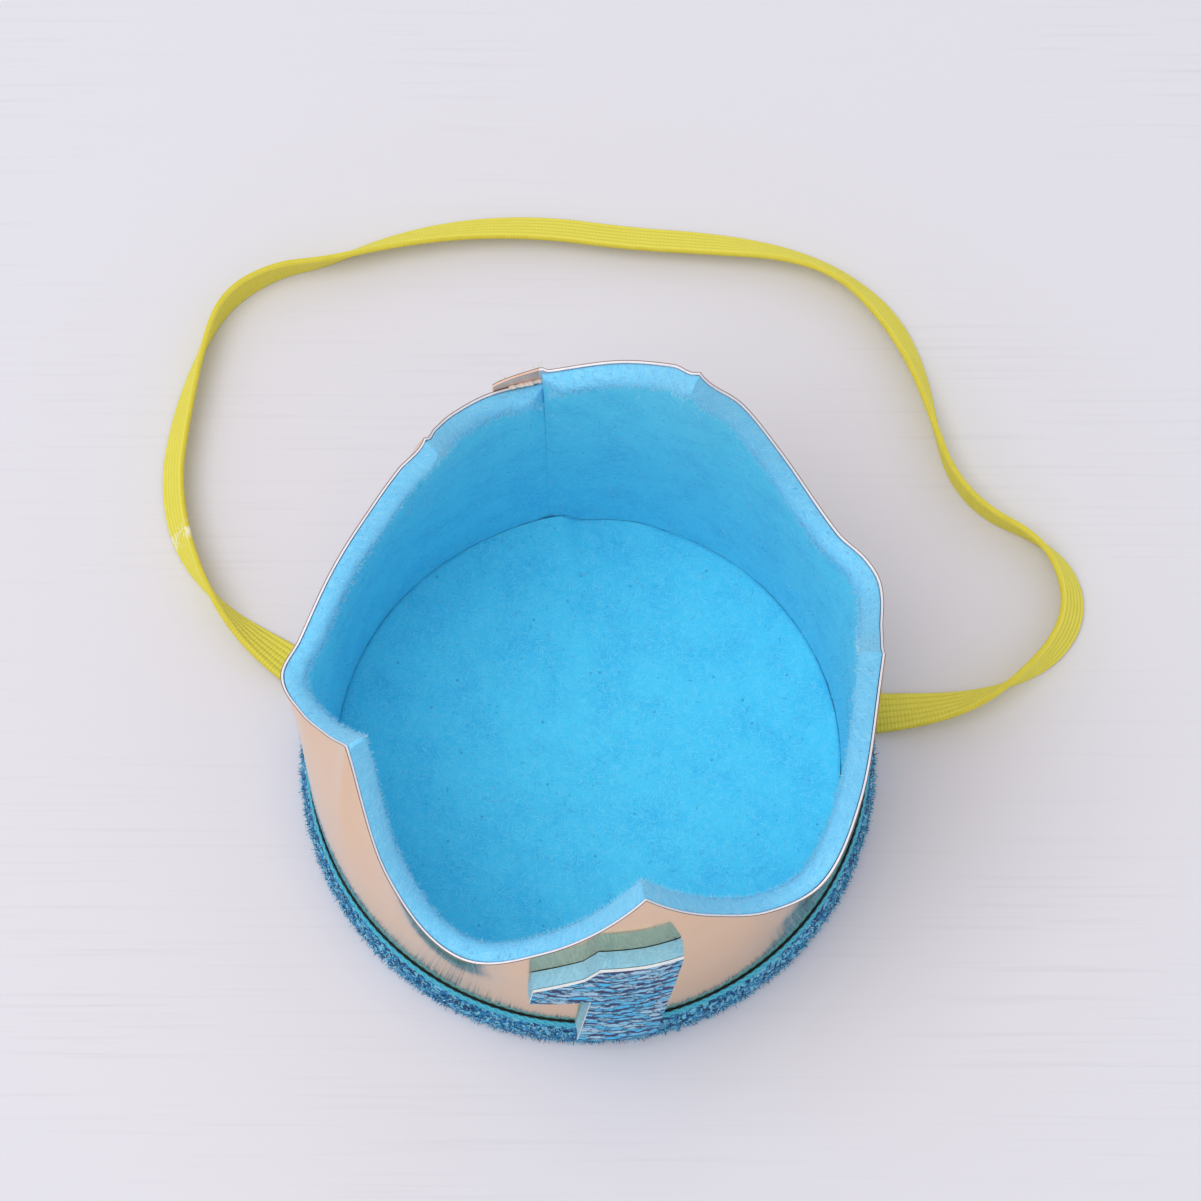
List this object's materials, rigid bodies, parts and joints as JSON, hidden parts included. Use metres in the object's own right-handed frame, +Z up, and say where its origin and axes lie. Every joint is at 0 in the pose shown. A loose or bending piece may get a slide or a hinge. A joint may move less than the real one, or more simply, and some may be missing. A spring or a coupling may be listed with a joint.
{
  "type": "birthday crown",
  "caption": "Small felt-lined party crown: an open cup with a pointed rim, mirror-gold skin, tinsel trim round its foot, a felt numeral on the front and a flat elastic loop.",
  "frame": {"origin": "centre of the floor disc's underside, on the surface that the crown stands on", "axes": "+Z up the crown's axis, -Y towards the front with the numeral, +X to the right of someone looking at the front"},
  "size_m": [0.1481, 0.1374, 0.083],
  "materials": {
    "gold_foil": "champagne mirror foil film",
    "blue_felt": "needled polyester felt",
    "tinsel": "metallic pile on a woven header",
    "pale_felt": "needled polyester felt",
    "lurex": "ribbed metallic cloth",
    "hot_glue": "clear hot-melt glue",
    "yellow_elastic": "ribbed flat elastic"
  },
  "bodies": {
    "root": {"outer_skin": "gold_foil", "felt_liner": "blue_felt", "floor_disc": "blue_felt", "base_trim": "tinsel", "numeral_backing": "pale_felt", "numeral_face": "lurex", "seam_glue": "hot_glue", "elastic_loop": "yellow_elastic"}
  },
  "joints": []
}
